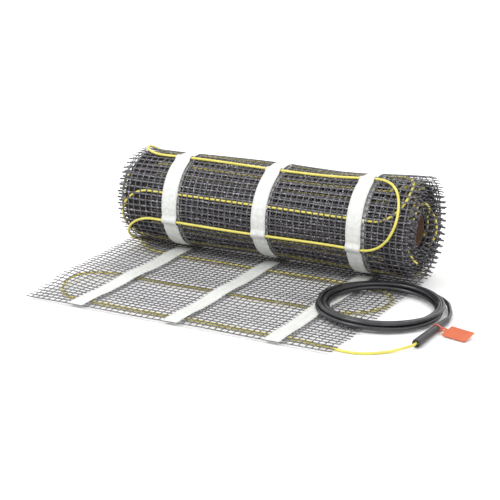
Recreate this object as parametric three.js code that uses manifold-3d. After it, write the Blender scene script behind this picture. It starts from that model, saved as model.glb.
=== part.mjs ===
// Electric underfloor heating mat, partly unrolled, with its cold lead coiled beside it.
// Millimetres, +Z up. The roll's axis lies along X, the unrolled length points to -Y, towards the
// front, and the origin is on the floor, at the middle of the mat's footprint.

import * as THREE from 'three';
import * as BufferGeometryUtils from 'three/addons/utils/BufferGeometryUtils.js';
import Module from 'manifold-3d';

const wasm = await Module();
wasm.setup();

// Driving dimensions of the mat
const matWidth = 500; // over the free ends of the cross strands
const fringeLength = 10; // free strand end past the last long strand
const meshPitch = 10;
const strandWidth = 2.4;
const sheetThickness = 1;
const unrolledLength = 341; // from the front edge to the line under the roll's axis
const rollRadius = 78.5; // outer face of the outermost turn
const turnCount = 10;
const turnEdge = 2.4; // thickness of one turn's edge on the roll's end
const endDish = 24; // how much deeper the innermost turn's end lies
const rollSides = 40;

// Driving dimensions of the cardboard core
const coreRadius = 26;
const coreWall = 2.6;
const coreLength = 468;
const coreSides = 24;

// Driving dimensions of the tapes
const tapeWidth = 25;
const tapeThickness = 0.3;
const tapePlaces = { left: -160, middle: 0, right: 160 };
const bumpTop = 2.6; // half of the flat that a tape has over a cable
const bumpFoot = 9; // half of the length where a tape is lifted by a cable
const tapeClimb = 34; // length over which a tape rises from the floor on to the roll
const tapeEndAngle = 18; // degrees before the roll's lowest line where the outer tapes end
const upperTapeGap = 23; // from the end of the upper tapes to the line under the roll's axis
const tapeStep = 8; // corner spacing of a tape that follows the roll

// Driving dimensions of the heating cable
const cableRadius = 2;
const cableSides = 8;
const rowPlaces = [28, 154, 281, 392, 500, 606, 721, 836]; // from the front edge, along the mat
const turnReach = [232, 240, 240, 236, 246, 229, 246]; // from the mat's middle, left turn first
const turnSteps = 16;
const exitX = 242; // where the cable leaves the mat, on the right
const leadInX = 172; // where the first row starts to bend towards the exit
const leadInBend = 7; // how far forward the exit lies of the first row
const leadInSteps = 4;
const cableEndAngle = 25; // degrees before the roll's lowest line where the cable goes in

// Drape of the unrolled length over the cable
const liftedWidth = 15; // on each side of the cable the mesh lies on top of it
const drapeWidth = 45; // from this distance on it hangs between two rows
const drapeDepth = 1.8; // how much lower it hangs there

// Driving dimensions of the cold lead, its splice and its tag
const leadRadius = 3.25;
const leadSides = 8;
const coilRadius = 95; // outside of the coil
const strandsWide = 3;
const strandsHigh = 2;
const coilCentre = [240, 192, 12.15]; // from the mat's middle, from its front edge, from the floor
const coilTilt = 1.35; // degrees: it lies on the mat, and its free side falls towards the floor
const coilFallHeading = -22; // degrees from X, where the coil's plane falls
const coilSides = 48;
const spliceWide = [337.8, 79, 7.1];
const spliceNarrow = [340.6, 192, 5.6];
const spliceRadii = [[0, 5.2], [1.2, 5.9], [26, 5.8], [60, 5.2], [92, 4.5], [112, 4.1], [113, 3.8]];
const spliceSides = 14;
const tieAlong = 72; // from the splice's wide end to its tie
const tieWidth = 2.6;
const tieThickness = 0.7;
const tieReach = 7.6; // from the splice's axis to the middle of the tie's small end
const tieEndRadius = 2;
const tagLength = 38;
const tagWidth = 26;
const tagThickness = 1;
const tagNeck = 6; // from the hole's middle to the tag's body
const tagNeckRadius = 4;
const tagHoleRadius = 2.1;
const tagHeading = -14; // degrees about Z
const tagTilt = 13; // degrees, its far edge up
const tagDrop = 2.5; // degrees, its far end down

const clearance = 0.3; // between pieces that lie on each other

// Routes of the free cords: across from the mat's middle, from its front edge, up from the floor
const tailRoute = [
  [exitX + clearance, 21, 2.6], [252, 19.7, 2.5], [264, 19.4, 2.2], [277, 21.3, 2.1],
  [290, 27, 2.1], [302, 35.6, 2.2], [313, 45.6, 2.6], [322.5, 55, 3.9], [330.6, 63.2, 5.6],
  [335.6, 69.4, 6.7], [337.6, 74.4, 7.1], [337.8, 78.6, 7.1],
];
const tailSteps = 16;
const leadRoute = [
  [340.6, 192.4, 5.6], [340.6, 196, 5.55], [339.9, 201, 5.5], [338.3, 207, 5.5], [335, 219.3, 5.8],
  [330.3, 232.3, 6.3], [323.8, 244.4, 6.9], [315.7, 255.6, 7.5],
];
const leadSteps = 12;

// Heights and places that follow from them
const radians = Math.PI / 180;
const matUnderside = tapeThickness + 2 * cableRadius + 2 * clearance; // over a cable, and at the roll
const axisHeight = rollRadius + matUnderside;
const overallDepth = unrolledLength + rollRadius + clearance + 2 * cableRadius;
const frontY = -overallDepth / 2;
const axisY = frontY + unrolledLength;
const coreBore = coreRadius - coreWall;
const rollBore = coreRadius + clearance;
const bodyHalfWidth = matWidth / 2 - fringeLength;
const cableLift = clearance + cableRadius;
const tapeOnRoll = clearance;
const tapeOnFloor = matUnderside - tapeThickness;
const tapeOnCable = 2 * clearance + 2 * cableRadius;
const bottomAngle = 2 * Math.PI;
const cableEnd = unrolledLength + rollRadius * (bottomAngle - cableEndAngle * radians);
const tapeEnd = unrolledLength + rollRadius * (bottomAngle - tapeEndAngle * radians);

const materials = {
  mesh: new THREE.MeshStandardMaterial({ color: 0x2b2a2e, roughness: 0.5 }),
  card: new THREE.MeshStandardMaterial({ color: 0x8a6238, roughness: 0.9 }),
  tape: new THREE.MeshStandardMaterial({ color: 0xd9dad6, roughness: 0.6 }),
  cable: new THREE.MeshStandardMaterial({ color: 0xd8c32a, roughness: 0.4 }),
  lead: new THREE.MeshStandardMaterial({ color: 0x1c1c1f, roughness: 0.35 }),
  tag: new THREE.MeshStandardMaterial({ color: 0xe8562a, roughness: 0.5 }),
};

const group = new THREE.Group();

function addPiece(name, geometry, material) {
  const mesh = new THREE.Mesh(geometry, material);
  mesh.name = name;
  group.add(mesh);
}

// A closed geometry as a solid that can be joined
function toSolid(geometry) {
  const bare = geometry.clone();
  bare.deleteAttribute('normal');
  bare.deleteAttribute('uv');
  const merged = BufferGeometryUtils.mergeVertices(bare, 1e-4);
  return new wasm.Manifold(new wasm.Mesh({
    numProp: 3,
    vertProperties: merged.attributes.position.array,
    triVerts: new Uint32Array(merged.index.array),
  }));
}

function toGeometry(solid) {
  const mesh = solid.getMesh();
  const geometry = new THREE.BufferGeometry();
  geometry.setAttribute('position', new THREE.BufferAttribute(mesh.vertProperties, 3));
  geometry.setIndex(new THREE.BufferAttribute(mesh.triVerts, 1));
  geometry.computeVertexNormals();
  return geometry;
}

// A ring or tube turned about X from its closed outline of [radius, place along X]
function turnedAboutX(outline, sides) {
  const points = outline.map(([radius, along]) => new THREE.Vector2(radius, along));
  return new THREE.LatheGeometry([...points, points[0]], sides).rotateZ(-Math.PI / 2);
}

// A curve through given points that keeps each point as a step of its own
class Route extends THREE.Curve {
  constructor(points) {
    super();
    this.points = points;
  }

  getPoint(t) {
    const place = t * (this.points.length - 1);
    const index = Math.min(Math.floor(place), this.points.length - 2);
    return this.points[index].clone().lerp(this.points[index + 1], place - index);
  }

  getPointAt(u) {
    return this.getPoint(u);
  }

  getTangentAt(u) {
    const index = Math.round(u * (this.points.length - 1));
    const before = this.points[Math.max(index - 1, 0)];
    const after = this.points[Math.min(index + 1, this.points.length - 1)];
    return after.clone().sub(before).normalize();
  }
}

// A round bar with a few sides along a route
function roundAlong(route, radius, sides, steps) {
  const section = new THREE.Shape();
  for (let side = 0; side < sides; side++) {
    const angle = (2 * Math.PI * side) / sides;
    const point = [radius * Math.cos(angle), radius * Math.sin(angle)];
    if (side === 0) section.moveTo(...point);
    else section.lineTo(...point);
  }
  return new THREE.ExtrudeGeometry(section, { steps, extrudePath: route, bevelEnabled: false });
}

// A point given across, from the front edge and up, in the part's frame
function fromFront([across, along, up]) {
  return new THREE.Vector3(across, frontY + along, up);
}

// A point on the mat: across it, along it from the front edge, and lifted off its outer face,
// which is the underside of the unrolled length and the outside of the roll
function onMat(across, along, lift) {
  if (along <= unrolledLength) return new THREE.Vector3(across, frontY + along, matUnderside - lift);
  const angle = (along - unrolledLength) / rollRadius;
  const radius = rollRadius + lift;
  return new THREE.Vector3(
    across, axisY + radius * Math.sin(angle), axisHeight - radius * Math.cos(angle));
}

// The heating cable's way on the flat mat, from its exit on the right to where it goes in under
// the roll: straight rows joined by half circles, left and right in turn
function cableWay() {
  const way = [];
  for (let step = 0; step <= leadInSteps; step++) {
    const share = 1 - step / leadInSteps;
    way.push([leadInX + (exitX - leadInX) * share, rowPlaces[0] - leadInBend * share * share]);
  }
  turnReach.forEach((reach, turn) => {
    const side = turn % 2 === 0 ? -1 : 1;
    const radius = (rowPlaces[turn + 1] - rowPlaces[turn]) / 2;
    for (let step = 0; step <= turnSteps; step++) {
      const angle = Math.PI * (step / turnSteps - 0.5);
      const across = side * (reach - radius + radius * Math.cos(angle));
      const along = rowPlaces[turn] + radius * (1 + Math.sin(angle));
      if (along <= cableEnd) way.push([across, along]);
    }
  });
  return way;
}

const heatingWay = cableWay();

function distanceToCable(across, along) {
  let nearest = Infinity;
  for (let index = 1; index < heatingWay.length; index++) {
    const [startX, startY] = heatingWay[index - 1];
    const [stepX, stepY] = [heatingWay[index][0] - startX, heatingWay[index][1] - startY];
    const share = ((across - startX) * stepX + (along - startY) * stepY) / (stepX ** 2 + stepY ** 2);
    const held = THREE.MathUtils.clamp(share, 0, 1);
    const distance = Math.hypot(across - startX - held * stepX, along - startY - held * stepY);
    nearest = Math.min(nearest, distance);
  }
  return nearest;
}

// Underside of the unrolled mesh: on top of the cable, a little lower between its rows, and level
// with the roll's lowest line where it joins the roll
function sheetUnderside(across, along) {
  const distance = Math.min(distanceToCable(across, along), Math.abs(unrolledLength - along));
  const down = THREE.MathUtils.smoothstep(distance, liftedWidth, drapeWidth);
  return matUnderside - drapeDepth * down;
}

// Evenly spaced lines from one place to another, both included
function linesBetween(start, end, spacing) {
  const count = Math.ceil((end - start) / spacing - 1e-6);
  return Array.from({ length: count + 1 }, (_, index) => start + ((end - start) * index) / count);
}

// A thin sheet over a grid of lines, its underside given by a function of both
function drapedSheet(acrossLines, alongLines) {
  const rows = alongLines.length;
  const position = [];
  for (const across of acrossLines) {
    for (const along of alongLines) {
      const under = sheetUnderside(across, along);
      position.push(across, frontY + along, under, across, frontY + along, under + sheetThickness);
    }
  }
  const index = [];
  const vertex = (column, row, top) => 2 * (column * rows + row) + top;
  const quad = (a, b, c, d) => index.push(a, b, c, a, c, d);
  for (let column = 0; column < acrossLines.length - 1; column++) {
    for (let row = 0; row < rows - 1; row++) {
      const corners = [[column, row], [column + 1, row], [column + 1, row + 1], [column, row + 1]];
      quad(...corners.map(([c, r]) => vertex(c, r, 1)));
      quad(...corners.reverse().map(([c, r]) => vertex(c, r, 0)));
    }
  }
  const wall = (from, to) => quad(vertex(...from, 0), vertex(...to, 0), vertex(...to, 1), vertex(...from, 1));
  const lastColumn = acrossLines.length - 1;
  for (let column = 0; column < lastColumn; column++) {
    wall([column, 0], [column + 1, 0]);
    wall([column + 1, rows - 1], [column, rows - 1]);
  }
  for (let row = 0; row < rows - 1; row++) {
    wall([0, row + 1], [0, row]);
    wall([lastColumn, row], [lastColumn, row + 1]);
  }
  const geometry = new THREE.BufferGeometry();
  geometry.setAttribute('position', new THREE.Float32BufferAttribute(position, 3));
  geometry.setIndex(index);
  return geometry;
}

// The roll's outline: each turn's edge stands proud on the ends, and the ends are dished
function rollOutline() {
  const pitch = (rollRadius - rollBore) / turnCount;
  const end = [];
  for (let turn = 0; turn < turnCount; turn++) {
    const outside = rollRadius - turn * pitch;
    const reach = matWidth / 2 - endDish * (turn / (turnCount - 1)) ** 2;
    end.push([outside, reach], [outside - turnEdge, reach]);
    end.push([outside - turnEdge, reach - fringeLength], [outside - pitch, reach - fringeLength]);
  }
  const otherEnd = end.map(([radius, along]) => [radius, -along]).reverse();
  return [...otherEnd, ...end];
}

// The glass-fibre mesh: the roll, the unrolled length and the free strand ends at its two sides
function glassMesh() {
  const turnStart = Math.min(...turnReach) - Math.max(...rowPlaces.slice(1).map(
    (place, index) => (place - rowPlaces[index]) / 2));
  const straight = Math.floor(turnStart / meshPitch) * meshPitch;
  const alongLines = linesBetween(0, unrolledLength, meshPitch);
  const acrossLines = [
    ...linesBetween(-bodyHalfWidth, -straight, meshPitch),
    ...linesBetween(straight, bodyHalfWidth, meshPitch),
  ];
  const pieces = [
    toSolid(turnedAboutX(rollOutline(), rollSides).translate(0, axisY, axisHeight)),
    toSolid(drapedSheet(acrossLines, alongLines)),
  ];
  const root = bodyHalfWidth - strandWidth;
  for (let along = meshPitch / 2; along < unrolledLength; along += meshPitch) {
    const strand = [along - strandWidth / 2, along + strandWidth / 2];
    pieces.push(toSolid(drapedSheet([root, matWidth / 2], strand)));
    pieces.push(toSolid(drapedSheet([-matWidth / 2, -root], strand)));
  }
  return toGeometry(wasm.Manifold.union(pieces));
}

function coreTube() {
  const half = coreLength / 2;
  const outline = [[coreRadius, -half], [coreRadius, half], [coreBore, half], [coreBore, -half]];
  return turnedAboutX(outline, coreSides).translate(0, axisY, axisHeight);
}

// A strip with its outline in the YZ plane, extruded across X and centred on a place
function strip(outline, place) {
  const shape = new THREE.Shape(outline.map(([along, up]) => new THREE.Vector2(along, up)));
  const turn = new THREE.Matrix4().makeBasis(
    new THREE.Vector3(0, 1, 0), new THREE.Vector3(0, 0, 1), new THREE.Vector3(1, 0, 0));
  return new THREE.ExtrudeGeometry(shape, { depth: tapeWidth, bevelEnabled: false })
    .applyMatrix4(turn).translate(place - tapeWidth / 2, 0, 0);
}

// How far a lower tape lies off the mat's outer face: on the floor under the unrolled length,
// rising on to the roll, and over each cable row there
function tapeLift(along) {
  const climb = THREE.MathUtils.smoothstep(along, unrolledLength, unrolledLength + tapeClimb);
  const base = tapeOnFloor + (tapeOnRoll - tapeOnFloor) * climb;
  const nearest = Math.min(...rowPlaces.filter((row) => row > unrolledLength)
    .map((row) => Math.abs(along - row)));
  const bump = 1 - THREE.MathUtils.clamp((nearest - bumpTop) / (bumpFoot - bumpTop), 0, 1);
  return Math.max(base, tapeOnRoll + (tapeOnCable - tapeOnRoll) * bump);
}

// Places along the mat where a lower tape's outline has a corner
function tapeStations() {
  const rowsOnRoll = rowPlaces.filter((row) => row > unrolledLength + tapeClimb && row < tapeEnd);
  const corners = rowsOnRoll.flatMap(
    (row) => [row - bumpFoot, row - bumpTop, row + bumpTop, row + bumpFoot]);
  const between = linesBetween(unrolledLength, tapeEnd, tapeStep).filter(
    (along) => rowsOnRoll.every((row) => Math.abs(along - row) > bumpFoot + tapeStep / 3));
  return [0, ...between, ...corners].sort((a, b) => a - b);
}

function lowerTape(place) {
  const stations = tapeStations();
  const side = (extra) => stations.map((along) => {
    const point = onMat(0, along, tapeLift(along) + extra);
    return [point.y, point.z];
  });
  return strip([...side(tapeThickness), ...side(0).reverse()], place);
}

function upperTape(place) {
  const stations = linesBetween(0, unrolledLength, meshPitch)
    .filter((along) => along < unrolledLength - upperTapeGap);
  const side = (extra) => stations.map((along) => [
    frontY + along, sheetUnderside(place, along) + sheetThickness + clearance + extra]);
  return strip([...side(0), ...side(tapeThickness).reverse()], place);
}

function heatingCable() {
  const points = heatingWay.map(([across, along]) => onMat(across, along, cableLift));
  return roundAlong(new Route(points), cableRadius, cableSides, points.length - 1);
}

function freeCord(route, radius, sides, steps) {
  const curve = new THREE.CatmullRomCurve3(route.map(fromFront), false, 'centripetal');
  return roundAlong(curve, radius, sides, steps);
}

// The shrunk sleeve over the joint of the heating cable and the cold lead
function spliceSleeve() {
  const start = fromFront(spliceWide);
  const end = fromFront(spliceNarrow);
  const length = start.distanceTo(end);
  const stretch = length / spliceRadii[spliceRadii.length - 1][0];
  const outline = spliceRadii.map(([along, radius]) => new THREE.Vector2(radius, along * stretch));
  const points = [new THREE.Vector2(0, 0), ...outline, new THREE.Vector2(0, length)];
  const turn = new THREE.Quaternion().setFromUnitVectors(
    new THREE.Vector3(0, 1, 0), end.clone().sub(start).normalize());
  return new THREE.LatheGeometry(points, spliceSides).applyQuaternion(turn)
    .translate(start.x, start.y, start.z);
}

// The splice's radius at a distance from its wide end
function spliceRadiusAt(along) {
  const index = spliceRadii.findIndex(([place]) => place >= along);
  const [startPlace, startRadius] = spliceRadii[index - 1];
  const [endPlace, endRadius] = spliceRadii[index];
  return THREE.MathUtils.mapLinear(along, startPlace, endPlace, startRadius, endRadius);
}

// Middle of the splice where its tie sits
function tieCentre() {
  const start = fromFront(spliceWide);
  const along = fromFront(spliceNarrow).sub(start).normalize();
  return start.addScaledVector(along, tieAlong);
}

// The tie: a flat loop round the splice at one end and through the tag's hole at the other
function tagTie() {
  const around = spliceRadiusAt(tieAlong) + clearance;
  const loop = (wall) => {
    const path = new THREE.Path();
    const lean = Math.acos((around - tieEndRadius) / tieReach);
    path.absarc(0, 0, around + wall, lean, 2 * Math.PI - lean);
    path.absarc(tieReach, 0, tieEndRadius + wall, -lean, lean);
    return path.getPoints(8);
  };
  const shape = new THREE.Shape(loop(tieThickness));
  shape.holes.push(new THREE.Path(loop(0)));
  const place = tieCentre();
  return new THREE.ExtrudeGeometry(shape, { depth: tieWidth, bevelEnabled: false })
    .translate(0, 0, -tieWidth / 2).rotateX(Math.PI / 2).translate(place.x, place.y, place.z);
}

// The tag: a flat plate with a round neck and the hole that the tie goes through
function tagPlate() {
  const shape = new THREE.Shape();
  shape.absarc(0, 0, tagNeckRadius, Math.PI / 2, 1.5 * Math.PI);
  shape.lineTo(tagNeck, -tagNeckRadius);
  shape.lineTo(tagNeck, -tagWidth / 2);
  shape.lineTo(tagNeck + tagLength, -tagWidth / 2);
  shape.lineTo(tagNeck + tagLength, tagWidth / 2);
  shape.lineTo(tagNeck, tagWidth / 2);
  shape.lineTo(tagNeck, tagNeckRadius);
  const hole = new THREE.Path();
  hole.absarc(0, 0, tagHoleRadius, 0, 2 * Math.PI, true);
  shape.holes.push(hole);
  const place = tieCentre();
  const holeX = place.x + tieReach + tieEndRadius + tieThickness / 2;
  return new THREE.ExtrudeGeometry(shape, { depth: tagThickness, bevelEnabled: false, curveSegments: 8 })
    .translate(0, 0, -tagThickness / 2).rotateX(tagTilt * radians).rotateY(tagDrop * radians)
    .rotateZ(tagHeading * radians).translate(holeX, place.y, place.z);
}

// The outer shape of the coil: a ring with its corners taken off, as its strands leave them
function coilRing() {
  const cut = leadRadius;
  const half = strandsHigh * leadRadius;
  const inner = coilRadius - 2 * strandsWide * leadRadius;
  const outline = [
    [coilRadius, -half + cut], [coilRadius, half - cut], [coilRadius - cut, half], [inner + cut, half],
    [inner, half - cut], [inner, -half + cut], [inner + cut, -half], [coilRadius - cut, -half],
  ];
  const points = outline.map(([radius, up]) => new THREE.Vector2(radius, up));
  const hingeHeading = (coilFallHeading + 90) * radians;
  const hinge = new THREE.Vector3(Math.cos(hingeHeading), Math.sin(hingeHeading), 0);
  const tilt = new THREE.Quaternion().setFromAxisAngle(hinge, coilTilt * radians);
  const place = fromFront(coilCentre);
  return new THREE.LatheGeometry([...points, points[0]], coilSides).rotateX(Math.PI / 2)
    .applyQuaternion(tilt).translate(place.x, place.y, place.z);
}

addPiece('glass_mesh', glassMesh(), materials.mesh);
addPiece('core_tube', coreTube(), materials.card);
for (const [name, place] of Object.entries(tapePlaces)) {
  addPiece(`lower_tape_${name}`, lowerTape(place), materials.tape);
  addPiece(`upper_tape_${name}`, upperTape(place), materials.tape);
}
addPiece('heating_cable', heatingCable(), materials.cable);
addPiece('heating_tail', freeCord(tailRoute, cableRadius, cableSides, tailSteps), materials.cable);
addPiece('splice_sleeve', spliceSleeve(), materials.lead);
addPiece('tag_tie', tagTie(), materials.tag);
addPiece('tag', tagPlate(), materials.tag);
addPiece('cold_lead_run', freeCord(leadRoute, leadRadius, leadSides, leadSteps), materials.lead);
addPiece('cold_lead_coil', coilRing(), materials.lead);

export default group;
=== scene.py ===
import math
import bmesh
import bpy
import numpy as np
from mathutils import Matrix, Vector


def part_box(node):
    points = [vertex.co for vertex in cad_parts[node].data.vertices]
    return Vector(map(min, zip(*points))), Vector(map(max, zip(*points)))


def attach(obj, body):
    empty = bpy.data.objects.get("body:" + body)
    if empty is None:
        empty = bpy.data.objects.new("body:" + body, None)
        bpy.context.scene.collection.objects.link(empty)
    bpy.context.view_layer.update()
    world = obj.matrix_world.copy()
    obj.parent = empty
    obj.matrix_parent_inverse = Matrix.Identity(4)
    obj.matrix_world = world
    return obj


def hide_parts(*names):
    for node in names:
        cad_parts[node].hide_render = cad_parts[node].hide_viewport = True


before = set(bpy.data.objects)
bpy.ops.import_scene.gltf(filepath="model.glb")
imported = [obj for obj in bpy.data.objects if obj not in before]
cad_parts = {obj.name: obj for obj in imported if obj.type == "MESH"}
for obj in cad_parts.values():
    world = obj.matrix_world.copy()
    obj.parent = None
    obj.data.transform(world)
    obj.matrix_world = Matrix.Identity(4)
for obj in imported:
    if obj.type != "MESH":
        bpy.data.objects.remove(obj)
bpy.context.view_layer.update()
rng = np.random.default_rng(7)
print("frame loaded")

# Sizes of the mat that every piece shares, in metres, as in the frame
mat = {
    "halfWidth": 0.25,
    "fringe": 0.010,
    "pitch": 0.010,
    "underside": 0.0049,       # outer face of the mesh over the floor, where the cable is under it
    "sag": 0.0018,             # how much lower it hangs between two cable rows
    "unrolled": 0.341,         # front edge to the line under the roll's axis
    "rollRadius": 0.0785,
    "turnPitch": 0.0052,
    "lifted": 0.012,           # the mesh lies on the cable to this distance
    "draped": 0.048,           # and hangs freely from this one
    "flare": 0.0080,           # how far the outer turn stands off at its right-hand end
    "endDish": 0.008,
    "turns": 10.0,
    "widened": 0.009,          # how far the left-hand edge has spread where the mat reaches the roll
    "wideStart": 0.03,         # where along the mat the spread starts
    "wideZone": (0.13, 0.25),  # from the mat's middle, where across it takes part
    "flareZone": (0.08, 0.25), # likewise for the flare
    "flareLoss": 0.2,          # share of the flare that each turn inwards loses
    "loose": 0.0012,           # how far the wound mesh stands off or lies in, in slow waves
    "cableRadius": 0.002,
    "clearance": 0.0003,
}
meshLow, meshHigh = (Vector(corner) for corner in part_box("glass_mesh"))
frontY = meshLow.y
axisY = frontY + mat["unrolled"]
axisZ = mat["underside"] + mat["rollRadius"]

# Cable rows: places along the mat from its front edge, then degrees wound round the roll from the
# line under its axis. Each turn joins two rows, and reaches this far from the mat's middle.
rowPlaces = [0.028, 0.154, 0.281, 0.392, 0.500, 0.606, 0.721, 0.836]
rowAngles = [451, 530, 609.5, 689, 768, 848, 927, 1015, 1110, 1206, 1302, 1392]
turnReach = [0.232, 0.240, 0.240, 0.236, 0.246, 0.229, 0.246, 0.238, 0.244, 0.236, 0.244, 0.238,
             0.240, 0.232, 0.245, 0.234, 0.244, 0.236, 0.243]
exitX = 0.242
leadInX = 0.172
leadInBend = 0.007


def unit(vectors):
    return vectors / np.linalg.norm(vectors, axis=-1, keepdims=True)


def smooth(values, start, end):
    # 0 up to start, 1 from end on, and a cubic ease between them
    share = np.clip((values - start) / (end - start), 0.0, 1.0)
    return share * share * (3.0 - 2.0 * share)


def alongForTurns(turns):
    # Length along the mat at which a number of turns is wound on the spiral
    angle = np.asarray(turns) * 2 * np.pi
    return mat["unrolled"] + mat["rollRadius"] * angle - mat["turnPitch"] * angle ** 2 / (4 * np.pi)


def turnAngle(along):
    # Angle round the roll for a length along the spiral, from the line under the axis
    wound = np.maximum(along - mat["unrolled"], 0.0)
    radius, pitch = mat["rollRadius"], mat["turnPitch"]
    return (radius - np.sqrt(radius ** 2 - pitch * wound / np.pi)) * 2 * np.pi / pitch


woundRows = alongForTurns(np.array(rowAngles) / 360)
hiddenRows = np.arange(woundRows[-1] + 0.104, alongForTurns(9.2), 0.104)
cableRows = np.concatenate([rowPlaces, woundRows, hiddenRows])


def cableWay(rows, stepsPerTurn, straightStep):
    # Straight rows joined by half circles, left and right in turn, as points across and along
    lead = np.linspace(1.0, 0.0, 9)
    way = [np.stack([leadInX + (exitX - leadInX) * lead, rows[0] - leadInBend * lead ** 2], -1)]
    for turn in range(len(rows) - 1):
        side = -1.0 if turn % 2 == 0 else 1.0
        radius = (rows[turn + 1] - rows[turn]) / 2
        reach = turnReach[turn % len(turnReach)]
        angle = np.pi * (np.arange(stepsPerTurn + 1) / stepsPerTurn - 0.5)
        arc = np.stack([side * (reach - radius + radius * np.cos(angle)),
                        rows[turn] + radius * (1 + np.sin(angle))], -1)
        start, end = way[-1][-1], arc[0]
        count = max(int(np.linalg.norm(end - start) / straightStep), 2)
        way.append(start + (end - start) * np.linspace(0, 1, count + 1)[1:-1, None])
        way.append(arc)
    return np.concatenate(way)


routeOnFloor = cableWay(cableRows[:5], 16, 0.1)


def distanceToCable(across, along):
    # Shortest distance on the flat mat from each place to the cable's way
    place = np.stack([across, along], -1)[..., None, :]
    start = routeOnFloor[:-1]
    step = routeOnFloor[1:] - start
    share = np.clip(((place - start) * step).sum(-1) / (step * step).sum(-1), 0, 1)
    return np.linalg.norm(start + share[..., None] * step - place, axis=-1).min(-1)


wave = {"height": 0.0006, "edgeLift": 0.0085, "edgePlace": -0.255, "edgeWidth": 0.05,
        "edgeStart": (0.02, 0.12), "fade": 0.035}


def waves(across, along):
    # Slow waves of the unrolled length: two crossed sines and an oblique one. To this comes its left
    # edge, which stands up off the floor behind the corner. Both fade out where the roll begins.
    crossed = np.sin(across * 23 + 0.6) * np.sin(along * 31 + 1.1)
    slow = 0.5 * crossed + 0.5 * np.sin(across * 41 + along * 17)
    edge = wave["edgeLift"] * np.exp(-((across - wave["edgePlace"]) / wave["edgeWidth"]) ** 2)
    edge = edge * smooth(along, *wave["edgeStart"])
    fade = smooth(mat["unrolled"] - along, 0.0, wave["fade"])
    return (wave["height"] * (slow + 1.0) + edge) * fade


def onMat(across, along, lift, drape=False):
    # A place on the mat: flat on the floor up to the roll, then on a spiral whose radius falls by
    # one pitch each turn. lift is outwards from the mesh's outer face. Returns points and normals.
    angle = turnAngle(along)
    turn = angle / (2 * np.pi)
    spread = smooth(along, mat["wideStart"], mat["unrolled"]) * smooth(-across, *mat["wideZone"])
    across = across - mat["widened"] * spread
    inwards = np.clip(1 - mat["flareLoss"] * turn, 0, 1)
    loose = mat["flare"] * smooth(across, *mat["flareZone"]) * np.sin(angle / 2) ** 2 * inwards
    loose = loose + mat["loose"] * np.sin(across * 19 + angle * 3) * smooth(angle, 0.4, 1.2)
    radius = mat["rollRadius"] - mat["turnPitch"] * turn + lift + loose
    dish = mat["endDish"] * np.clip(turn / mat["turns"], 0, 1) ** 2
    wound = across * (1 - dish / mat["halfWidth"])
    onRoll = np.stack([wound, axisY + radius * np.sin(angle), axisZ - radius * np.cos(angle)], -1)
    normalRoll = np.stack([np.zeros_like(angle), np.sin(angle), -np.cos(angle)], -1)
    height = mat["underside"] - lift + waves(across, along)
    if drape:
        near = np.minimum(distanceToCable(across, along), np.abs(mat["unrolled"] - along))
        height = height - mat["sag"] * smooth(near, mat["lifted"], mat["draped"])
    onFloor = np.stack([across, frontY + along, height], -1)
    normalFloor = np.broadcast_to(np.array([0.0, 0.0, -1.0]), onFloor.shape)
    flat = (along <= mat["unrolled"])[..., None]
    return np.where(flat, onFloor, onRoll), np.where(flat, normalFloor, normalRoll)


def newObject(name, points, loops, sizes, uv=None, smoothFaces=True):
    mesh = bpy.data.meshes.new(name)
    mesh.vertices.add(len(points))
    mesh.vertices.foreach_set("co", np.ascontiguousarray(points, dtype=np.float32).ravel())
    mesh.loops.add(len(loops))
    mesh.loops.foreach_set("vertex_index", np.ascontiguousarray(loops, dtype=np.int32))
    mesh.polygons.add(len(sizes))
    starts = np.concatenate([[0], np.cumsum(sizes)[:-1]])
    mesh.polygons.foreach_set("loop_start", starts.astype(np.int32))
    mesh.polygons.foreach_set("loop_total", np.asarray(sizes, dtype=np.int32))
    if uv is not None:
        layer = mesh.uv_layers.new(name="UVMap")
        layer.data.foreach_set("uv", np.ascontiguousarray(uv, dtype=np.float32).ravel())
    mesh.update(calc_edges=True)
    mesh.validate()
    mesh.polygons.foreach_set("use_smooth", np.full(len(mesh.polygons), smoothFaces))
    piece = bpy.data.objects.new(name, mesh)
    bpy.context.scene.collection.objects.link(piece)
    return piece


def strandMesh(name, bundles, sides):
    # Flattened bars along many paths at once: at each path point the section's corner is
    # side * halfWidth * cos + up * halfThick * sin, and the two ends are capped
    points, loops, sizes, uvs, base = [], [], [], [], 0
    for paths, ups, (halfWidth, halfThick) in bundles:
        count, steps, _ = paths.shape
        tangent = unit(np.gradient(paths, axis=1))
        side = unit(np.cross(tangent, ups))
        up = np.cross(side, tangent)
        angle = 2 * np.pi * np.arange(sides) / sides
        corner = (paths[:, :, None] + side[:, :, None] * (halfWidth * np.cos(angle))[:, None]
                  + up[:, :, None] * (halfThick * np.sin(angle))[:, None])
        points.append(corner.reshape(-1, 3))
        index = base + np.arange(count * steps * sides).reshape(count, steps, sides)
        turned = np.roll(index, -1, axis=2)
        quads = np.stack([index[:, :-1], index[:, 1:], turned[:, 1:], turned[:, :-1]], -1)
        length = np.concatenate([np.zeros((count, 1)), np.cumsum(
            np.linalg.norm(np.diff(paths, axis=1), axis=-1), axis=1)], 1)
        around = np.arange(sides) / sides
        near = np.broadcast_to(length[:, :-1, None], quads.shape[:3])
        far = np.broadcast_to(length[:, 1:, None], quads.shape[:3])
        this = np.broadcast_to(around, quads.shape[:3])
        following = this + 1 / sides
        uv = np.stack([near, this, far, this, far, following, near, following], -1)
        caps = np.concatenate([index[:, 0], index[:, -1, ::-1]])
        loops += [quads.ravel(), caps.ravel()]
        sizes += [np.full(quads[..., 0].size, 4), np.full(len(caps), sides)]
        uvs += [uv.reshape(-1, 2), np.zeros((caps.size, 2))]
        base += count * steps * sides
    return newObject(name, np.concatenate(points), np.concatenate(loops), np.concatenate(sizes),
                     np.concatenate(uvs))


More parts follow.
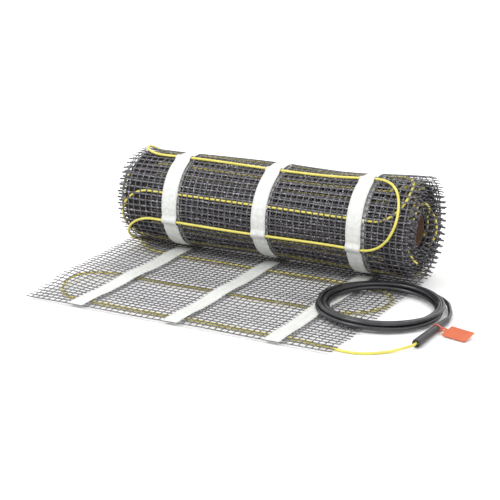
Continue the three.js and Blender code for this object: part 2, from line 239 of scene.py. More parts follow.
def gridSheet(name, points, uv, thickness):
    # A sheet through a grid of points. Its faces point along columns cross rows, and its wall grows
    # to that side.
    rows, columns, _ = points.shape
    index = np.arange(rows * columns).reshape(rows, columns)
    quads = np.stack([index[:-1, :-1], index[:-1, 1:], index[1:, 1:], index[1:, :-1]], -1).reshape(-1, 4)
    flat = uv.reshape(-1, 2)
    corners = quads.ravel()
    piece = newObject(name, points.reshape(-1, 3), corners, np.full(len(quads), 4), flat[corners])
    wall = piece.modifiers.new("wall", "SOLIDIFY")
    wall.thickness = thickness
    wall.offset = 1.0
    return piece


def turnedShape(name, profile, sides, axis, origin):
    # A closed profile of radius and place along a roughly level axis, carried round it
    axis = unit(np.asarray(axis, float))
    aside = unit(np.cross(axis, [0.0, 0.0, 1.0]))
    upward = np.cross(axis, aside)
    profile = np.asarray(profile, float)
    angle = 2 * np.pi * np.arange(sides) / sides
    spoke = np.cos(angle)[:, None] * aside + np.sin(angle)[:, None] * upward
    points = (np.asarray(origin, float) + profile[None, :, 1, None] * axis
              + profile[None, :, 0, None] * spoke[:, None])
    count = len(profile)
    index = np.arange(sides * count).reshape(sides, count)
    following = np.roll(index, -1, axis=0)
    quads = np.stack([index, following, np.roll(following, -1, axis=1), np.roll(index, -1, axis=1)], -1)
    edges = np.linalg.norm(np.diff(profile, axis=0, append=profile[:1]), axis=1)
    length = np.concatenate([[0], np.cumsum(edges)])
    turnShare = np.arange(sides + 1) / sides
    uv = np.stack(np.broadcast_arrays(
        np.stack([turnShare[:-1], turnShare[1:], turnShare[1:], turnShare[:-1]], -1)[:, None, :],
        np.stack([length[:-1], length[:-1], length[1:], length[1:]], -1)[None, :, :]), -1)
    sizes = np.full(quads.size // 4, 4)
    return newObject(name, points.reshape(-1, 3), quads.ravel(), sizes, uv.reshape(-1, 2))


# Shader helpers

def nodeSetter(tree):
    # Adds a node with its inputs set or linked. i0 and i1 stand for inputs by their number.
    def add(kind, settings=None, **inputs):
        node = tree.nodes.new(kind)
        for key, value in (settings or {}).items():
            setattr(node, key, value)
        for key, value in inputs.items():
            place = {"i0": 0, "i1": 1}.get(key, key.replace("_", " "))
            socket = node.inputs[place]
            if isinstance(value, bpy.types.NodeSocket):
                tree.links.new(value, socket)
            else:
                socket.default_value = value
        return node
    return add


def newMaterial(name, **constants):
    material = bpy.data.materials.new(name)
    material.use_nodes = True
    tree = material.node_tree
    shader = tree.nodes["Principled BSDF"]
    for key, value in constants.items():
        shader.inputs[key.replace("_", " ")].default_value = value
    return material, tree, shader, nodeSetter(tree)


def speckGroup():
    # Shared grain: two scales of noise mixed into a colour, and a bump height
    group = bpy.data.node_groups.new("sheathGrain", "ShaderNodeTree")
    for label, kind in (("Vector", "NodeSocketVector"), ("Scale", "NodeSocketFloat"),
                        ("Dark", "NodeSocketColor"), ("Light", "NodeSocketColor")):
        group.interface.new_socket(label, in_out="INPUT", socket_type=kind)
    for label, kind in (("Color", "NodeSocketColor"), ("Height", "NodeSocketFloat")):
        group.interface.new_socket(label, in_out="OUTPUT", socket_type=kind)
    add = nodeSetter(group)
    source = group.nodes.new("NodeGroupInput")
    sink = group.nodes.new("NodeGroupOutput")
    coarse = add("ShaderNodeTexNoise", Vector=source.outputs["Vector"], Scale=source.outputs["Scale"],
                 Detail=4.0)
    finer = add("ShaderNodeMath", {"operation": "MULTIPLY"}, i0=source.outputs["Scale"], i1=9.0)
    fine = add("ShaderNodeTexNoise", Vector=source.outputs["Vector"], Scale=finer.outputs[0], Detail=2.0)
    both = add("ShaderNodeMath", {"operation": "MULTIPLY_ADD"}, i0=fine.outputs["Fac"], i1=0.4)
    group.links.new(coarse.outputs["Fac"], both.inputs[2])
    spread = add("ShaderNodeMapRange", Value=both.outputs[0], From_Min=0.45, From_Max=0.95)
    mix = add("ShaderNodeMix", {"data_type": "RGBA"}, Factor=spread.outputs[0])
    group.links.new(source.outputs["Dark"], mix.inputs[6])
    group.links.new(source.outputs["Light"], mix.inputs[7])
    group.links.new(mix.outputs[2], sink.inputs["Color"])
    group.links.new(both.outputs[0], sink.inputs["Height"])
    return group


sheathGrain = speckGroup()


def placeGrain(tree, add, dark, light, scale):
    node = tree.nodes.new("ShaderNodeGroup")
    node.node_tree = sheathGrain
    tree.links.new(add("ShaderNodeTexCoord").outputs["Object"], node.inputs["Vector"])
    node.inputs["Scale"].default_value = scale
    node.inputs["Dark"].default_value = (*dark, 1)
    node.inputs["Light"].default_value = (*light, 1)
    return node


def bumped(tree, add, shader, height, strength, distance):
    bump = add("ShaderNodeBump", Height=height, Strength=strength, Distance=distance)
    tree.links.new(bump.outputs["Normal"], shader.inputs["Normal"])


def plainGrain(name, dark, light, scale, bump, **constants):
    material, tree, shader, add = newMaterial(name, **constants)
    grain = placeGrain(tree, add, dark, light, scale)
    tree.links.new(grain.outputs["Color"], shader.inputs["Base Color"])
    bumped(tree, add, shader, grain.outputs["Height"], bump, 0.0004)
    return material


def strandMaterial():
    # Coated glass fibre: filaments run along the strand (the UV map's first axis), with bright
    # flecks painted into the colour as highlights where the coating would glint
    material, tree, shader, add = newMaterial("meshStrand", Roughness=0.42, Specular_IOR_Level=0.6)
    uv = add("ShaderNodeUVMap", {"uv_map": "UVMap"}).outputs[0]
    along = add("ShaderNodeMapping", Vector=uv, Scale=(900, 7, 1)).outputs[0]
    filament = add("ShaderNodeTexNoise", Vector=along, Scale=1.0, Detail=3.0)
    objectPlace = add("ShaderNodeTexCoord").outputs["Object"]
    # noise that places the painted highlight flecks
    paintedGlintNoise = add("ShaderNodeTexNoise", Vector=objectPlace, Scale=420.0, Detail=1.0)
    paintedGlintMask = add("ShaderNodeMapRange", Value=paintedGlintNoise.outputs["Fac"], From_Min=0.58, From_Max=0.72)
    patch = add("ShaderNodeTexNoise", Vector=objectPlace, Scale=18.0, Detail=3.0)
    dark = add("ShaderNodeMix", {"data_type": "RGBA"}, Factor=patch.outputs["Fac"])
    dark.inputs[6].default_value = (0.012, 0.011, 0.014, 1)
    dark.inputs[7].default_value = (0.046, 0.044, 0.050, 1)
    streak = add("ShaderNodeMapRange", Value=filament.outputs["Fac"], From_Min=0.4, From_Max=0.75,
                 To_Max=0.55)
    fibre = add("ShaderNodeMix", {"data_type": "RGBA"}, Factor=streak.outputs[0])
    tree.links.new(dark.outputs[2], fibre.inputs[6])
    fibre.inputs[7].default_value = (0.17, 0.16, 0.18, 1)
    # painted highlight: light grey-lilac flecks mixed into the base colour
    paintedGlintMix = add("ShaderNodeMix", {"data_type": "RGBA"}, Factor=paintedGlintMask.outputs[0])
    tree.links.new(fibre.outputs[2], paintedGlintMix.inputs[6])
    paintedGlintMix.inputs[7].default_value = (0.40, 0.38, 0.42, 1)
    tree.links.new(paintedGlintMix.outputs[2], shader.inputs["Base Color"])
    bumped(tree, add, shader, filament.outputs["Fac"], 0.5, 0.0003)
    return material


def tapeMaterial():
    # White fibre tape: the strands under it print through as a faint grid on its UV map
    material, tree, shader, add = newMaterial("whiteTape", Roughness=0.5)
    uv = add("ShaderNodeUVMap", {"uv_map": "UVMap"}).outputs[0]
    parts = add("ShaderNodeSeparateXYZ", Vector=uv)
    lines = []
    perMetre = 2 * math.pi / mat["pitch"]
    for axis in range(2):
        scaled = add("ShaderNodeMath", {"operation": "MULTIPLY"}, i0=parts.outputs[axis], i1=perMetre)
        ripple = add("ShaderNodeMath", {"operation": "COSINE"}, i0=scaled.outputs[0])
        line = add("ShaderNodeMapRange", Value=ripple.outputs[0], From_Min=0.55, From_Max=1.0)
        lines.append(line.outputs[0])
    grid = add("ShaderNodeMath", {"operation": "MAXIMUM"}, i0=lines[0], i1=lines[1])
    grain = placeGrain(tree, add, (0.56, 0.57, 0.55), (0.70, 0.71, 0.68), 160.0)
    printed = add("ShaderNodeMix", {"data_type": "RGBA"})
    amount = add("ShaderNodeMath", {"operation": "MULTIPLY"}, i0=grid.outputs[0], i1=0.14)
    tree.links.new(amount.outputs[0], printed.inputs["Factor"])
    tree.links.new(grain.outputs["Color"], printed.inputs[6])
    printed.inputs[7].default_value = (0.40, 0.41, 0.42, 1)
    tree.links.new(printed.outputs[2], shader.inputs["Base Color"])
    relief = add("ShaderNodeMath", {"operation": "ADD"}, i0=grid.outputs[0], i1=grain.outputs["Height"])
    bumped(tree, add, shader, relief.outputs[0], 0.3, 0.0003)
    return material


def cardPaintedShadeMaterial():
    # Cardboard: fibres, and the wound tube's spiral seam as dark lines of a wave. Its brown is
    # darkened as painted shade, for the shade the core sits in inside the roll's end.
    material, tree, shader, add = newMaterial("brownCardPaintedShade", Roughness=0.85)
    # card brown, darkened as painted shade
    grain = placeGrain(tree, add, (0.05, 0.024, 0.014), (0.10, 0.052, 0.028), 90.0)
    objectPlace = add("ShaderNodeTexCoord").outputs["Object"]
    seam = add("ShaderNodeTexWave", Vector=objectPlace, Scale=9.0, Distortion=1.5)
    tint = add("ShaderNodeMix", {"data_type": "RGBA", "blend_type": "MULTIPLY"}, Factor=0.35)
    tree.links.new(grain.outputs["Color"], tint.inputs[6])
    tree.links.new(seam.outputs["Color"], tint.inputs[7])
    tree.links.new(tint.outputs[2], shader.inputs["Base Color"])
    bumped(tree, add, shader, grain.outputs["Height"], 0.4, 0.0005)
    return material


materials = {
    "strand": strandMaterial(),
    "tape": tapeMaterial(),
    "card": cardPaintedShadeMaterial(),
    "cable": plainGrain("yellowSheath", (0.58, 0.50, 0.07), (0.70, 0.63, 0.13), 60.0, 0.15,
                        Roughness=0.36, Coat_Weight=0.15, Coat_Roughness=0.3),
    "lead": plainGrain("blackSheath", (0.006, 0.006, 0.008), (0.020, 0.020, 0.024), 120.0, 0.10,
                       Roughness=0.34, Coat_Weight=0.35, Coat_Roughness=0.05),
    "shrink": plainGrain("shrinkSleeve", (0.008, 0.008, 0.009), (0.03, 0.03, 0.034), 70.0, 0.3,
                         Roughness=0.42),
    "tag": plainGrain("orangeTag", (0.46, 0.075, 0.014), (0.57, 0.11, 0.022), 40.0, 0.1, Roughness=0.45),
    "tie": plainGrain("redTie", (0.60, 0.05, 0.02), (0.75, 0.09, 0.03), 60.0, 0.1, Roughness=0.35),
    # near-black: painted shade of the deep inner turns, on the body that stands in for them
    "shade": plainGrain("innerTurns", (0.004, 0.004, 0.004), (0.022, 0.019, 0.017), 140.0, 0.6,
                        Roughness=0.9),
}


def finishPiece(piece, material, slot, *nodes):
    piece.data.materials.append(materials[material])
    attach(piece, "root")
    if nodes:
        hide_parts(*nodes)
    return piece


# Camera: the photograph's angle, distance and lens, its places given from the mat's front edge

camera = {"place": (0.98272, frontY - 1.60275, 0.68476), "target": (0.0360, frontY + 0.1722, 0.07),
          "lens": 102.31, "sensor": 36.0}
cameraData = bpy.data.cameras.new("photoCamera")
cameraData.lens = camera["lens"]
cameraData.sensor_width = camera["sensor"]
cameraObject = bpy.data.objects.new("photoCamera", cameraData)
cameraObject.location = camera["place"]
sight = Vector(camera["target"]) - Vector(camera["place"])
cameraObject.rotation_euler = sight.to_track_quat("-Z", "Y").to_euler()
bpy.context.scene.collection.objects.link(cameraObject)
bpy.context.scene.camera = cameraObject


# Free cords

def fromFront(points):
    # Points given across, from the front edge and up, in millimetres
    return np.asarray(points, float) / 1000 + np.array([0, frontY, 0])


def throughPoints(points, spacing):
    # A Catmull-Rom curve through the points, cut to even steps
    padded = np.concatenate([[2 * points[0] - points[1]], points, [2 * points[-1] - points[-2]]])
    share = np.linspace(0, 1, 12, endpoint=False)[:, None]
    pieces = []
    for a, b, c, d in zip(padded[:-3], padded[1:-2], padded[2:-1], padded[3:]):
        pieces.append(0.5 * (2 * b + (c - a) * share + (2 * a - 5 * b + 4 * c - d) * share ** 2
                             + (3 * b - a - 3 * c + d) * share ** 3))
    dense = np.concatenate([*pieces, points[-1:]])
    length = np.concatenate([[0], np.cumsum(np.linalg.norm(np.diff(dense, axis=0), axis=1))])
    even = np.linspace(0, length[-1], max(int(length[-1] / spacing), 4) + 1)
    return np.stack([np.interp(even, length, dense[:, axis]) for axis in range(3)], -1)


def cordCurve(name, points, diameter, material):
    curve = bpy.data.curves.new(name, "CURVE")
    curve.dimensions = "3D"
    curve.bevel_depth = diameter / 2
    curve.bevel_resolution = 4
    curve.use_fill_caps = True
    spline = curve.splines.new("POLY")
    spline.points.add(len(points) - 1)
    spline.points.foreach_set("co", np.concatenate([points, np.ones((len(points), 1))], 1).ravel())
    spline.use_smooth = True
    piece = bpy.data.objects.new(name, curve)
    bpy.context.scene.collection.objects.link(piece)
    piece.data.materials.append(materials[material])
    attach(piece, "root")
    return piece


splice = {"wide": (337.8, 79, 7.1), "narrow": (340.6, 192, 5.6), "tieAlong": 0.072,
          "radii": [(0, 3.4), (0, 5.3), (0.8, 5.9), (3, 6.05), (26, 5.8), (60, 5.2), (92, 4.5), (110, 4.1),
                    (113, 3.7), (113, 3.0)]}
spliceStart = fromFront(splice["wide"])
spliceEnd = fromFront(splice["narrow"])
spliceAxis = unit(spliceEnd - spliceStart)

tail = {"diameter": 0.004, "intoSplice": 0.035, "route": [
    (242.3, 21, 2.6), (252, 19.7, 2.5), (264, 19.4, 2.2), (277, 21.3, 2.1), (290, 27, 2.1),
    (302, 35.6, 2.2), (313, 45.6, 2.6), (322.5, 55, 3.9), (330.6, 63.2, 5.6), (335.6, 69.4, 6.7),
    (337.6, 74.4, 7.1), (337.8, 78.6, 7.1)]}
tailEnd = [spliceStart + spliceAxis * tail["intoSplice"] * share for share in (0.5, 1.0)]
tailPoints = throughPoints(np.concatenate([fromFront(tail["route"]), tailEnd]), 0.003)

coil = {"diameter": 0.0065, "radius": 0.095, "centre": (240, 192, 12.15), "tilt": 1.35, "heading": -22.0,
        "turns": 5.35, "stepsPerTurn": 72, "start": 33.0, "crossing": 0.70, "wobble": 0.0011,
        "entry": 0.0067, "entryTurns": 0.22, "outOfSplice": (0.052, 0.085),
        "strands": [(3.3, 3.3), (9.9, 3.3), (16.4, 3.3), (13.0, 9.2), (6.5, 9.2), (10.5, 9.6)],
        "runIn": [(340.6, 192.4, 5.6), (340.6, 196, 5.55), (339.9, 201, 5.5), (338.3, 207, 5.5),
                  (335, 219.3, 5.8)]}


def coilPoints():
    # Turns round the coil's centre: each turn keeps its own place in the bundle's section and
    # slides to the next one over the stretch where the strands cross, on the right-hand side. The
    # first turn comes in from outside, and the whole coil leans by its tilt towards its heading.
    centre = fromFront(coil["centre"])
    start = math.radians(coil["start"])
    turn = np.arange(int(coil["turns"] * coil["stepsPerTurn"]) + 1) / coil["stepsPerTurn"]
    strands = np.array([*coil["strands"], coil["strands"][-1]]) / 1000
    whole = np.minimum(np.floor(turn).astype(int), len(strands) - 2)
    slide = smooth(turn - whole, coil["crossing"], 1.0)[:, None]
    section = strands[whole] * (1 - slide) + strands[whole + 1] * slide
    angle = start + turn * 2 * np.pi
    within = np.sin(np.pi * np.clip((turn - whole) / 0.8, 0, 1))
    wobble = coil["wobble"] * np.sin(angle * 2.0 + whole * 1.9) * within
    radius = coil["radius"] - section[:, 0] + wobble
    radius = radius + coil["entry"] * (1 - smooth(turn, 0.0, coil["entryTurns"]))
    height = section[:, 1] - coil["diameter"] + 0.0005 * np.sin(angle * 3 + whole)
    fallHeading = math.radians(coil["heading"])
    slope = math.tan(math.radians(coil["tilt"]))
    x = radius * np.cos(angle)
    y = radius * np.sin(angle)
    down = slope * (x * math.cos(fallHeading) + y * math.sin(fallHeading))
    return np.stack([centre[0] + x, centre[1] + y, centre[2] + height - down], -1)


runPoints = fromFront(coil["runIn"])
leadStart = [spliceStart + spliceAxis * along for along in coil["outOfSplice"]]
leadPoints = throughPoints(np.concatenate([leadStart, runPoints, coilPoints()]), 0.006)

tailCord = cordCurve("heatingTail", tailPoints, tail["diameter"], "cable")
leadCord = cordCurve("coldLead", leadPoints, coil["diameter"], "lead")
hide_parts("heating_tail")
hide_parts("cold_lead_run", "cold_lead_coil")
print("cords laid")


def spliceSleeve():
    # Sleeve turned from its knots of place and radius, with an inner wall that laps the cords
    knots = np.array(splice["radii"]) / 1000
    along = np.concatenate([knots[:1, 0], np.linspace(0, knots[-1, 0], 90), knots[-1:, 0]])
    radius = np.interp(along, knots[1:-1, 0], knots[1:-1, 1])
    radius[0] = knots[0, 1]
    radius[-1] = knots[-1, 1]
    wall = [(knots[-1, 1], knots[-1, 0] - 0.004), (0.0022, knots[-1, 0] - 0.006),
            (0.0022, 0.006), (knots[0, 1], 0.004)]
    profile = np.concatenate([np.stack([radius, along], -1), wall])
    sleeve = turnedShape("spliceSleeve", profile, 32, spliceAxis, spliceStart)
    return finishPiece(sleeve, "shrink", "lead_sheath", "splice_sleeve")


sleevePiece = spliceSleeve()

tag = {"length": 0.038, "width": 0.026, "thick": 0.0009, "neck": 0.006, "neckRadius": 0.004, "hole": 0.0021,
       "heading": -14.0, "tilt": 13.0, "drop": 2.5, "tieReach": 0.0076, "tieEnd": 0.002, "tieThick": 0.0007,
       "tieWidth": 0.0026, "around": 0.00526, "curl": 0.0012, "soft": 0.0015, "edge": 0.00025}
tieCentre = spliceStart + spliceAxis * splice["tieAlong"]


def tagTie():
    # A flat loop: its path is two arcs with straight sides, swept with a small flat section
    lean = math.acos((tag["around"] - tag["tieEnd"]) / tag["tieReach"])
    big = np.linspace(lean, 2 * np.pi - lean, 40)
    small = np.linspace(-lean, lean, 16)
    half = tag["tieThick"] / 2
    bigRing = (tag["around"] + half) * np.stack([np.cos(big), np.sin(big)], -1)
    smallRing = (tag["tieEnd"] + half) * np.stack([np.cos(small), np.sin(small)], -1) + [tag["tieReach"], 0]
    ring = np.concatenate([bigRing, smallRing])
    outward = unit(ring - np.roll(ring, 1, axis=0))
    outward = unit(outward + np.roll(outward, -1, axis=0))
    outward = np.stack([outward[:, 1], -outward[:, 0]], -1)
    corners = [(half, -0.5), (half, 0.5), (-half, 0.5), (-half, -0.5)]
    rails = []
    for lift, share in corners:
        wide = np.full(len(ring), share * tag["tieWidth"])
        rail = ring + outward * lift
        rails.append(np.stack([rail[:, 0], wide, rail[:, 1]], -1))
    points = np.stack(rails, 1) + tieCentre
    count = len(ring)
    index = np.arange(count * 4).reshape(count, 4)
    following = np.roll(index, -1, axis=0)
    quads = np.stack([index, np.roll(index, -1, axis=1), np.roll(following, -1, axis=1), following], -1)
    sizes = np.full(quads.size // 4, 4)
    piece = newObject("tagTie", points.reshape(-1, 3), quads.ravel(), sizes, smoothFaces=False)
    soften = piece.modifiers.new("edge", "BEVEL")
    soften.width = tag["edge"]
    soften.segments = 2
    return finishPiece(piece, "tie", "tag_plastic", "tag_tie")


def tagRim():
    # The tag's outline about its hole: a round neck, then the plate's four rounded corners
    near, far, half, soft = tag["neck"], tag["neck"] + tag["length"], tag["width"] / 2, tag["soft"]
    bow = np.linspace(np.pi / 2, 1.5 * np.pi, 17)
    rim = [tag["neckRadius"] * np.stack([np.cos(bow), np.sin(bow)], -1), [(near, -tag["neckRadius"])]]
    corners = [(near + soft, -half + soft, 180), (far - soft, -half + soft, 270),
               (far - soft, half - soft, 0), (near + soft, half - soft, 90)]
    for centreX, centreY, start in corners:
        bend = math.radians(start) + np.linspace(0, np.pi / 2, 5)
        rim.append(np.stack([centreX + soft * np.cos(bend), centreY + soft * np.sin(bend)], -1))
    rim.append([(near, tag["neckRadius"])])
    return np.concatenate(rim)


def tagTurn():
    # Tilt about the tag's length, then drop of its free end, then heading
    tilt, drop, heading = (math.radians(tag[key]) for key in ("tilt", "drop", "heading"))
    turns = Matrix.Rotation(heading, 3, "Z") @ Matrix.Rotation(drop, 3, "Y") @ Matrix.Rotation(tilt, 3, "X")
    return np.array(turns)


def tagPlate():
    # A flat outline with a hole, filled with triangles, curled towards its free end by
    # curl * (place / length) squared, and given a wall
    shape = bmesh.new()
    around = np.linspace(0, 2 * np.pi, 20, endpoint=False)
    edges = []
    for line in (tagRim(), tag["hole"] * np.stack([np.cos(around), np.sin(around)], -1)):
        corners = [shape.verts.new((x, y, 0)) for x, y in line]
        for corner, following in zip(corners, corners[1:] + corners[:1]):
            edges.append(shape.edges.new((corner, following)))
    bmesh.ops.triangle_fill(shape, edges=edges, use_beauty=True)
    bmesh.ops.recalc_face_normals(shape, faces=shape.faces)
    mesh = bpy.data.meshes.new("tagPlate")
    shape.to_mesh(mesh)
    shape.free()
    flat = np.empty(len(mesh.vertices) * 3, dtype=np.float32)
    mesh.vertices.foreach_get("co", flat)
    flat = flat.reshape(-1, 3).astype(float)
    flat[:, 2] = tag["curl"] * np.maximum((flat[:, 0] - tag["neck"]) / tag["length"], 0) ** 2
    hole = tieCentre + [tag["tieReach"] + tag["tieEnd"] + tag["tieThick"] / 2, 0, 0]
    placed = flat @ tagTurn().T + hole
    mesh.vertices.foreach_set("co", placed.astype(np.float32).ravel())
    mesh.update()
    piece = bpy.data.objects.new("tagPlate", mesh)
    bpy.context.scene.collection.objects.link(piece)
    wall = piece.modifiers.new("wall", "SOLIDIFY")
    wall.thickness = tag["thick"]
    wall.offset = 0.0
    return finishPiece(piece, "tag", "tag_plastic", "tag")


tiePiece = tagTie()
tagPiece = tagPlate()
print("splice and tag made")


# Mesh strands

# The strands' half widths and half thicknesses, the steps along them, and how far each free end is
# bent (left, right, up) and trimmed
strand = {"cross": (0.00155, 0.0006), "long": (0.00105, 0.00045), "sides": 6, "step": 0.006,
          "fringeStep": 0.005, "slip": 0.0042, "outerTurns": 3.9, "endTurns": 9.9, "endDepth": 0.05,
          "bent": (0.0006, 0.0007, 0.0006), "trim": (-0.0012, 0.0004), "firstCross": 0.0013}
meshMiddle = -0.0005  # the mesh's middle lies inside its outer face by half of its thickness
halfLong = mat["halfWidth"] - mat["fringe"]  # the outermost long strand, where the free ends start


def longStrands(start, end, places):
    # Strands along the mat, one for each place across, wavering by a fraction of a millimetre. The
    # turns inside the outermost one have slipped sideways on each other by a few millimetres.
    along = np.arange(start, end, strand["step"])
    across = np.asarray(places)[:, None] + 0.0 * along
    across = across + 0.0004 * np.sin(along * 37 + across * 211) + 0.0002 * np.sin(along * 91 + across * 97)
    turn = turnAngle(along) / (2 * np.pi)
    across = across + strand["slip"] * np.sin(turn * 2.3) * smooth(turn, 0.75, 1.05)
    along = np.broadcast_to(along, across.shape)
    points, normals = onMat(across, along, meshMiddle, True)
    return points, normals, strand["long"]


def crossStrands(start, end, lowest, highest, step):
    # Strands across the mat, their free ends bent a little, each by its own seeded amount
    along = np.arange(start, end, mat["pitch"])[:, None]
    steps = int(round((highest - lowest) / step))
    across = np.broadcast_to(np.linspace(lowest, highest, steps + 1), (len(along), steps + 1)).copy()
    count = len(along)
    left, right, out = (rng.normal(0, spread, (count, 1)) for spread in strand["bent"])
    trim = rng.uniform(*strand["trim"], (count, 2))
    past = np.clip((np.abs(across) - halfLong) / mat["fringe"], 0, 1)
    across = across + past * np.where(across < 0, -trim[:, :1], trim[:, 1:])
    bend = past ** 2 * np.where(across < 0, left, right)
    bow = 0.0005 * np.sin(across * 17 + along * 45)
    points, normals = onMat(across, along + bend + bow, meshMiddle + past ** 2 * out, True)
    return points, normals, strand["cross"]


longPlaces = np.arange(-halfLong, halfLong + 0.001, mat["pitch"])
wholeWidth = (-mat["halfWidth"], mat["halfWidth"])
outerEnd = alongForTurns(strand["outerTurns"])
flatMesh = strandMesh("unrolledMesh", [
    longStrands(0.0004, mat["unrolled"] + 0.004, longPlaces),
    crossStrands(strand["firstCross"], mat["unrolled"], *wholeWidth, strand["fringeStep"])],
    strand["sides"])
rollLong = strandMesh("rollLongStrands", [
    longStrands(mat["unrolled"], outerEnd, longPlaces)], strand["sides"])
rollCross = strandMesh("rollCrossStrands", [
    crossStrands(strand["firstCross"] + 35 * mat["pitch"], outerEnd, *wholeWidth, mat["pitch"])],
    strand["sides"])
turnStart = outerEnd + 0.003
turnEnd = alongForTurns(strand["endTurns"])
edgePlaces = halfLong - np.arange(0, strand["endDepth"], mat["pitch"])
endStrands = []
for sideSign in (-1, 1):
    endStrands.append(longStrands(turnStart, turnEnd, sideSign * edgePlaces))
    limits = sorted([sideSign * (halfLong - strand["endDepth"]), sideSign * mat["halfWidth"]])
    endStrands.append(crossStrands(turnStart, turnEnd, *limits, strand["fringeStep"]))
endMesh = strandMesh("innerTurnEnds", endStrands, strand["sides"])
for piece in (rollLong, rollCross, endMesh):
    finishPiece(piece, "strand", "mesh_strands")
finishPiece(flatMesh, "strand", "mesh_strands", "glass_mesh")
print("mesh strands made")


# Inner turns and core

core = {"radius": 0.026, "bore": 0.0234, "halfLength": 0.234, "sides": 64, "bevel": 0.0004}
# The inner turns' body starts this many turns in, between its ends and at them
packed = {"turns": 4.05, "endTurns": 1.45, "shoulder": (0.030, 0.045), "setBack": 0.004, "groove": 0.003,
          "fit": 0.0006}


def innerBody():
    # The closed inner turns: a turned body whose ends are dished and grooved once for each turn. It
    # stands in for the packed inner turns, coloured near-black as painted shade of the deep layers. It is
    # thicker at its ends, which look closed from outside, than where deeper cable rows show.
    coreTurns = (mat["rollRadius"] - core["radius"] - packed["fit"]) / mat["turnPitch"]
    turn = np.linspace(packed["endTurns"], coreTurns, 80)
    radius = mat["rollRadius"] - mat["turnPitch"] * turn
    reach = halfLong - packed["setBack"]
    shoulder = np.array([[radius[0], reach - packed["shoulder"][0]],
                         [mat["rollRadius"] - mat["turnPitch"] * packed["turns"],
                          reach - packed["shoulder"][1]]])
    reach = reach - mat["endDish"] * np.clip(turn / mat["turns"], 0, 1) ** 2
    reach = reach - packed["groove"] * (0.5 + 0.5 * np.cos(2 * np.pi * turn))
    right = np.stack([radius, reach], -1)
    left = np.stack([radius, -reach - mat["widened"]], -1)
    profile = np.concatenate([left[::-1], shoulder * [1, -1], shoulder[::-1], right])
    body = turnedShape("innerTurns", profile, 96, (1, 0, 0), (0, axisY, axisZ))
    # its near-black colour is painted shade
    return finishPiece(body, "shade", "mesh_strands")


def coreTube():
    # A turned tube with its four rims bevelled
    radius, bore, end, bevel = core["radius"], core["bore"], core["halfLength"], core["bevel"]
    profile = [(bore, -end + bevel), (bore, end - bevel), (bore + bevel, end), (radius - bevel, end),
               (radius, end - bevel), (radius, -end + bevel), (radius - bevel, -end), (bore + bevel, -end)]
    tube = turnedShape("coreTube", profile[::-1], core["sides"], (1, 0, 0), (0, axisY, axisZ))
    return finishPiece(tube, "card", "core_card", "core_tube")


innerBody()
coreTube()
print("core made")


# Heating cable

def heatingCable():
    # The cable's way through the unrolled length and the outer turns, round in section
    way = cableWay(cableRows, 24, 0.012)
    lift = mat["cableRadius"] + mat["clearance"] + 0.0002 * np.sin(way[:, 1] * 60)
    points, normals = onMat(way[:, 0], way[:, 1], lift)
    section = (mat["cableRadius"], mat["cableRadius"])
    piece = strandMesh("heatingCable", [(points[None], normals[None], section)], 14)
    return finishPiece(piece, "cable", "cable_sheath", "heating_cable")


heatingCable()
print("cable made")


# Tapes

tape = {"halfWidth": 0.0125, "thick": 0.0003, "places": {"left": -0.160, "middle": 0.0, "right": 0.160},
        "columns": 9, "step": 0.0025, "flat": 0.0016, "foot": 0.0085, "underRoll": 0.034,
        "outerEnd": 0.955, "innerTurns": (1.03, 2.4), "innerShift": 0.003, "innerSway": 0.002,
        "shortOfRoll": 0.020, "topLift": -0.00135}


def tapeStrip(name, place, alongs, lifts, outward, sway, node=None):
    # A grid along the tape and across it, its lift taken along. The wall grows away from the mesh.
    across = np.linspace(-tape["halfWidth"], tape["halfWidth"], tape["columns"])
    shift = sway * np.sin(alongs * 9 + place * 31)
    alongGrid, acrossGrid = np.meshgrid(alongs, place + across, indexing="ij")
    acrossGrid = acrossGrid + shift[:, None]
    liftGrid = np.broadcast_to(lifts[:, None], alongGrid.shape)
    points, _ = onMat(acrossGrid, alongGrid, liftGrid, True)
    uv = np.stack([acrossGrid, alongGrid], -1)
    if outward:
        points, uv = points[:, ::-1], uv[:, ::-1]
    piece = gridSheet(name, points, uv, tape["thick"])
    finishPiece(piece, "tape", "tape", *([node] if node else []))


def overCable(alongs, base, top):
    # A tape's lift: its base, and its top over each cable row, with a foot on both sides
    near = np.abs(alongs[:, None] - cableRows).min(1)
    return base + (top - base) * (1 - smooth(near, tape["flat"], tape["foot"]))


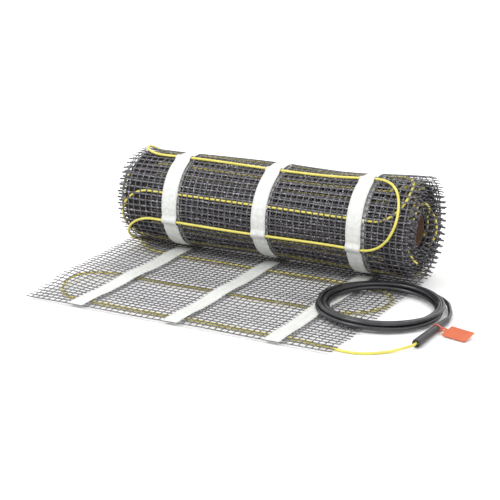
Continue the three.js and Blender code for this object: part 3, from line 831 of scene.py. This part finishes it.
onStrands = 0.0001
cableTop = 2 * mat["cableRadius"] + 2 * mat["clearance"]
onFloor = mat["underside"] - tape["thick"]
for name, place in tape["places"].items():
    alongs = np.arange(0.0, alongForTurns(tape["outerEnd"]), tape["step"])
    underRoll = 1 - smooth(np.abs(alongs - mat["unrolled"]), 0.0, tape["underRoll"])
    lifts = np.maximum(overCable(alongs, onStrands, onFloor), underRoll * onFloor)
    tapeStrip(f"lowerTape_{name}", place, alongs, lifts, True, 0.0, f"lower_tape_{name}")
    alongs = np.arange(*alongForTurns(tape["innerTurns"]), tape["step"])
    lifts = overCable(alongs, onStrands, cableTop)
    tapeStrip(f"innerTape_{name}", place + tape["innerShift"], alongs, lifts, True, tape["innerSway"])
    alongs = np.arange(0.0, mat["unrolled"] - tape["shortOfRoll"], tape["step"])
    lifts = np.full(len(alongs), tape["topLift"])
    tapeStrip(f"upperTape_{name}", place, alongs, lifts, False, 0.0, f"upper_tape_{name}")
print("tapes made")


# Floor and lights

lamps = {"key": ((-1.1, -1.5, 2.2), 1.2, 34.0), "fill": ((1.6, -1.0, 1.6), 1.6, 8.0),
         "back": ((0.2, 1.6, 1.8), 1.6, 12.0)}
lampTarget = Vector((0, 0, 0.05))
floorHalf = 20.0
worldStrength = 1.15


def paleFloor():
    mesh = bpy.data.meshes.new("floor")
    corners = [(-floorHalf, -floorHalf, 0), (floorHalf, -floorHalf, 0), (floorHalf, floorHalf, 0),
               (-floorHalf, floorHalf, 0)]
    mesh.from_pydata(corners, [], [(0, 1, 2, 3)])
    floor = bpy.data.objects.new("floor", mesh)
    bpy.context.scene.collection.objects.link(floor)
    material, _, shader, _ = newMaterial("paleFloor", Roughness=0.6)
    shader.inputs["Base Color"].default_value = (0.95, 0.95, 0.95, 1)
    mesh.materials.append(material)


def lights():
    # A white world, and three area lamps given by place, width and power
    world = bpy.data.worlds.new("studio")
    world.use_nodes = True
    background = world.node_tree.nodes["Background"]
    background.inputs["Color"].default_value = (1, 1, 1, 1)
    background.inputs["Strength"].default_value = worldStrength
    bpy.context.scene.world = world
    bpy.context.scene.view_settings.view_transform = "Standard"
    for label, (place, width, power) in lamps.items():
        data = bpy.data.lights.new(label, "AREA")
        data.size = width
        data.energy = power
        lamp = bpy.data.objects.new(label, data)
        lamp.location = place
        lamp.rotation_euler = (lampTarget - Vector(place)).to_track_quat("-Z", "Y").to_euler()
        bpy.context.scene.collection.objects.link(lamp)


paleFloor()
lights()
print("scene ready")
